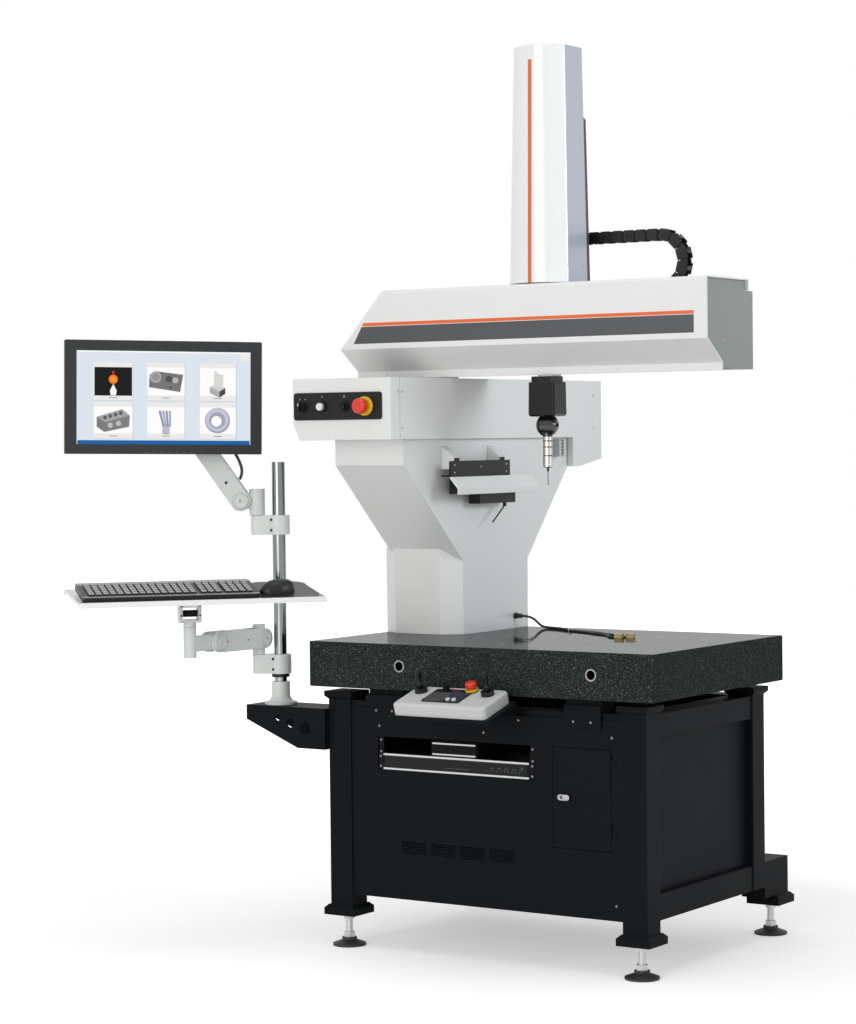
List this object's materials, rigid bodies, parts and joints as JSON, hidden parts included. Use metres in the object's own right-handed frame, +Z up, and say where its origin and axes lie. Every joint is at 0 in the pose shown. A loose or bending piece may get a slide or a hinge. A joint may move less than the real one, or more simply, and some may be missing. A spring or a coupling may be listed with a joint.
{
  "type": "coordinate measuring machine",
  "caption": "Granite-table coordinate measuring machine with a column-borne beam, probe head, cabinet stand and an operator's screen and keyboard on arms.",
  "frame": {"origin": "on the floor, under the middle of the machine's outline", "axes": "+X to the machine's right, +Y to its back, +Z up"},
  "size_m": [1.5888, 1.65, 2.362],
  "materials": {
    "white_paint": "gloss",
    "charcoal_paint": "satin",
    "granite": "polished",
    "steel": "satin",
    "chrome": "polished",
    "aluminium": "satin",
    "black_plastic": "matte",
    "white_plastic": "satin",
    "grey_plastic": "satin",
    "red_plastic": "gloss",
    "dark_case": "satin",
    "brass": "satin"
  },
  "bodies": {
    "machine": {"stand_frame": "charcoal_paint", "front_panel": "charcoal_paint", "side_panels": "charcoal_paint", "rack_units": "charcoal_paint", "levelling_feet": "steel", "table_supports": "charcoal_paint", "granite_table": "granite", "table_bushes": "steel", "column_cover": "white_paint", "guide_cover": "white_paint", "y_guideway": "steel", "control_panel": "white_paint", "side_fittings": "grey_plastic", "rack_mount": "black_plastic", "sensor_cable": "black_plastic", "sensor_blocks": "brass", "arm_bracket": "charcoal_paint", "arm_post": "chrome", "remote_shelf": "charcoal_paint", "remote_housing": "white_plastic"},
    "beam": {"beam_cover": "white_paint", "beam_core": "aluminium", "y_carriage": "aluminium", "chain_lower": "black_plastic"},
    "head": {"z_cover": "white_plastic", "z_rear_plate": "dark_case", "x_carriage": "aluminium", "chain_upper": "black_plastic"},
    "ram": {"z_ram": "aluminium", "probe_head": "black_plastic"},
    "yoke": {"probe_yoke": "steel"},
    "probe": {"probe_ball": "steel", "probe_module": "steel"},
    "loop": {"chain_loop": "black_plastic"},
    "door": {"cabinet_door": "charcoal_paint"},
    "latch": {"door_latch": "chrome"},
    "selector": {"selector_knob": "black_plastic"},
    "start_button": {"white_button": "white_plastic"},
    "stop_button": {"black_button": "black_plastic"},
    "emergency_stop": {"panel_estop": "red_plastic"},
    "gimbal": {"stick_gimbal": "black_plastic"},
    "left_stick": {"stick_left": "black_plastic"},
    "right_stick": {"stick_right": "black_plastic"},
    "speed": {"speed_knob": "black_plastic"},
    "remote_stop": {"remote_estop": "red_plastic"},
    "left_button": {"remote_button_left": "white_plastic"},
    "right_button": {"remote_button_right": "white_plastic"},
    "lid": {"rack_lid": "white_paint"},
    "screen_base": {"monitor_arm_base": "grey_plastic"},
    "screen_arm": {"monitor_arm": "grey_plastic", "monitor_cable": "black_plastic"},
    "screen_yoke": {"monitor_yoke": "grey_plastic"},
    "screen_swivel": {"monitor_swivel": "grey_plastic"},
    "screen": {"monitor": "dark_case"},
    "key_base": {"keyboard_arm_base": "grey_plastic"},
    "key_arm": {"keyboard_arm": "grey_plastic"},
    "key_barrel": {"tray_barrel": "grey_plastic"},
    "key_tilter": {"tray_tilter": "grey_plastic"},
    "tray": {"keyboard_tray": "white_paint", "keyboard": "black_plastic"}
  },
  "joints": [
    {"name": "y_slide", "type": "slide", "parent": "machine", "child": "beam", "axis": [0, 1, 0], "range_m": [-0.205, 0.3]},
    {"name": "x_slide", "type": "slide", "parent": "beam", "child": "head", "axis": [1, 0, 0], "range_m": [-0.15, 0.4], "deforming": ["chain_upper"]},
    {"name": "z_slide", "type": "slide", "parent": "head", "child": "ram", "axis": [0, 0, 1], "range_m": [-0.39, 0]},
    {"name": "probe_yaw", "type": "hinge", "parent": "ram", "child": "yoke", "pos_m": [0.2775, 0.065, 1.4], "axis": [0, 0, 1], "range_deg": [-180, 180]},
    {"name": "probe_tilt", "type": "hinge", "parent": "yoke", "child": "probe", "pos_m": [0.2775, 0.065, 1.375], "axis": [1, 0, 0], "range_deg": [0, 105]},
    {"name": "chain_slide", "type": "slide", "parent": "beam", "child": "loop", "axis": [1, 0, 0], "range_m": [-0.075, 0.2], "deforming": ["chain_lower"]},
    {"name": "door_hinge", "type": "hinge", "parent": "machine", "child": "door", "pos_m": [0.61623, -0.212, 0.44], "axis": [0, 0, 1], "range_deg": [0, 110]},
    {"name": "latch_turn", "type": "hinge", "parent": "door", "child": "latch", "pos_m": [0.4778, -0.209, 0.442], "axis": [0, -1, 0], "range_deg": [0, 90]},
    {"name": "selector_turn", "type": "hinge", "parent": "machine", "child": "selector", "pos_m": [-0.287, -0.25, 1.43], "axis": [0, -1, 0], "range_deg": [-45, 45]},
    {"name": "start_press", "type": "slide", "parent": "machine", "child": "start_button", "axis": [0, 1, 0], "range_m": [0, 0.003], "stiffness_N_per_m": 800},
    {"name": "stop_press", "type": "slide", "parent": "machine", "child": "stop_button", "axis": [0, 1, 0], "range_m": [0, 0.003], "stiffness_N_per_m": 800},
    {"name": "emergency_press", "type": "slide", "parent": "machine", "child": "emergency_stop", "axis": [0, 1, 0], "range_m": [0, 0.006], "stiffness_N_per_m": 800},
    {"name": "stick_left_pitch", "type": "hinge", "parent": "machine", "child": "gimbal", "pos_m": [0.13, -0.32438, 0.70851], "axis": [1, 0, 0], "range_deg": [-20, 20], "stiffness_Nm_per_rad": 0.3},
    {"name": "stick_left_roll", "type": "hinge", "parent": "gimbal", "child": "left_stick", "pos_m": [0.13, -0.32438, 0.70851], "axis": [0, 0.9613, 0.2756], "range_deg": [-20, 20], "stiffness_Nm_per_rad": 0.3},
    {"name": "stick_right_pitch", "type": "hinge", "parent": "machine", "child": "right_stick", "pos_m": [0.33, -0.32438, 0.70851], "axis": [1, 0, 0], "range_deg": [-20, 20], "stiffness_Nm_per_rad": 0.3},
    {"name": "speed_turn", "type": "hinge", "parent": "machine", "child": "speed", "pos_m": [0.198, -0.30954, 0.70757], "axis": [0, -0.2756, 0.9613], "range_deg": [-140, 140]},
    {"name": "remote_stop_press", "type": "slide", "parent": "machine", "child": "remote_stop", "axis": [0, 0.2756, -0.9613], "range_m": [0, 0.004], "stiffness_N_per_m": 800},
    {"name": "left_button_press", "type": "slide", "parent": "machine", "child": "left_button", "axis": [0, 0.2756, -0.9613], "range_m": [0, 0.0014], "stiffness_N_per_m": 800},
    {"name": "right_button_press", "type": "slide", "parent": "machine", "child": "right_button", "axis": [0, 0.2756, -0.9613], "range_m": [0, 0.0014], "stiffness_N_per_m": 800},
    {"name": "lid_hinge", "type": "hinge", "parent": "machine", "child": "lid", "pos_m": [0.016, 0.1425, 1.237], "axis": [0, -1, 0], "range_deg": [0, 45]},
    {"name": "screen_yaw", "type": "hinge", "parent": "machine", "child": "screen_base", "pos_m": [-0.4732, -0.20927, 1.16], "axis": [0, 0, 1], "range_deg": [-25, 25]},
    {"name": "screen_lift", "type": "hinge", "parent": "screen_base", "child": "screen_arm", "pos_m": [-0.50893, -0.23319, 1.181], "axis": [-0.5563, 0.831, 0], "range_deg": [-10, 15]},
    {"name": "screen_level", "type": "hinge", "parent": "screen_arm", "child": "screen_yoke", "pos_m": [-0.66761, -0.33942, 1.45989], "axis": [-0.5563, 0.831, 0], "range_deg": [-15, 10]},
    {"name": "screen_swivel", "type": "hinge", "parent": "screen_yoke", "child": "screen_swivel", "pos_m": [-0.70501, -0.36445, 1.45989], "axis": [0, 0, 1], "range_deg": [-70, 0]},
    {"name": "screen_tilt", "type": "hinge", "parent": "screen_swivel", "child": "screen", "pos_m": [-0.65445, -0.40687, 1.45989], "axis": [0.6428, 0.766, 0], "range_deg": [-20, 0]},
    {"name": "key_yaw", "type": "hinge", "parent": "machine", "child": "key_base", "pos_m": [-0.4732, -0.20927, 0.79], "axis": [0, 0, 1], "range_deg": [-40, 0]},
    {"name": "key_lift", "type": "hinge", "parent": "key_base", "child": "key_arm", "pos_m": [-0.4732, -0.20927, 0.811], "axis": [-0.9932, 0.1167, 0], "range_deg": [-15, 15]},
    {"name": "key_level", "type": "hinge", "parent": "key_arm", "child": "key_barrel", "pos_m": [-0.49326, -0.38009, 0.811], "axis": [-0.9932, 0.1167, 0], "range_deg": [-15, 15]},
    {"name": "key_swivel", "type": "hinge", "parent": "key_barrel", "child": "key_tilter", "pos_m": [-0.5035, -0.46719, 0.85], "axis": [0, 0, 1], "range_deg": [-60, 0]},
    {"name": "key_tilt", "type": "hinge", "parent": "key_tilter", "child": "tray", "pos_m": [-0.5035, -0.46719, 0.918], "axis": [0.6428, 0.766, 0], "range_deg": [-8, 8]}
  ],
  "couplings": [
    {"joint": "chain_slide", "follows": "x_slide", "ratio": 0.5},
    {"joint": "screen_level", "follows": "screen_lift", "ratio": -1},
    {"joint": "key_level", "follows": "key_lift", "ratio": -1}
  ]
}
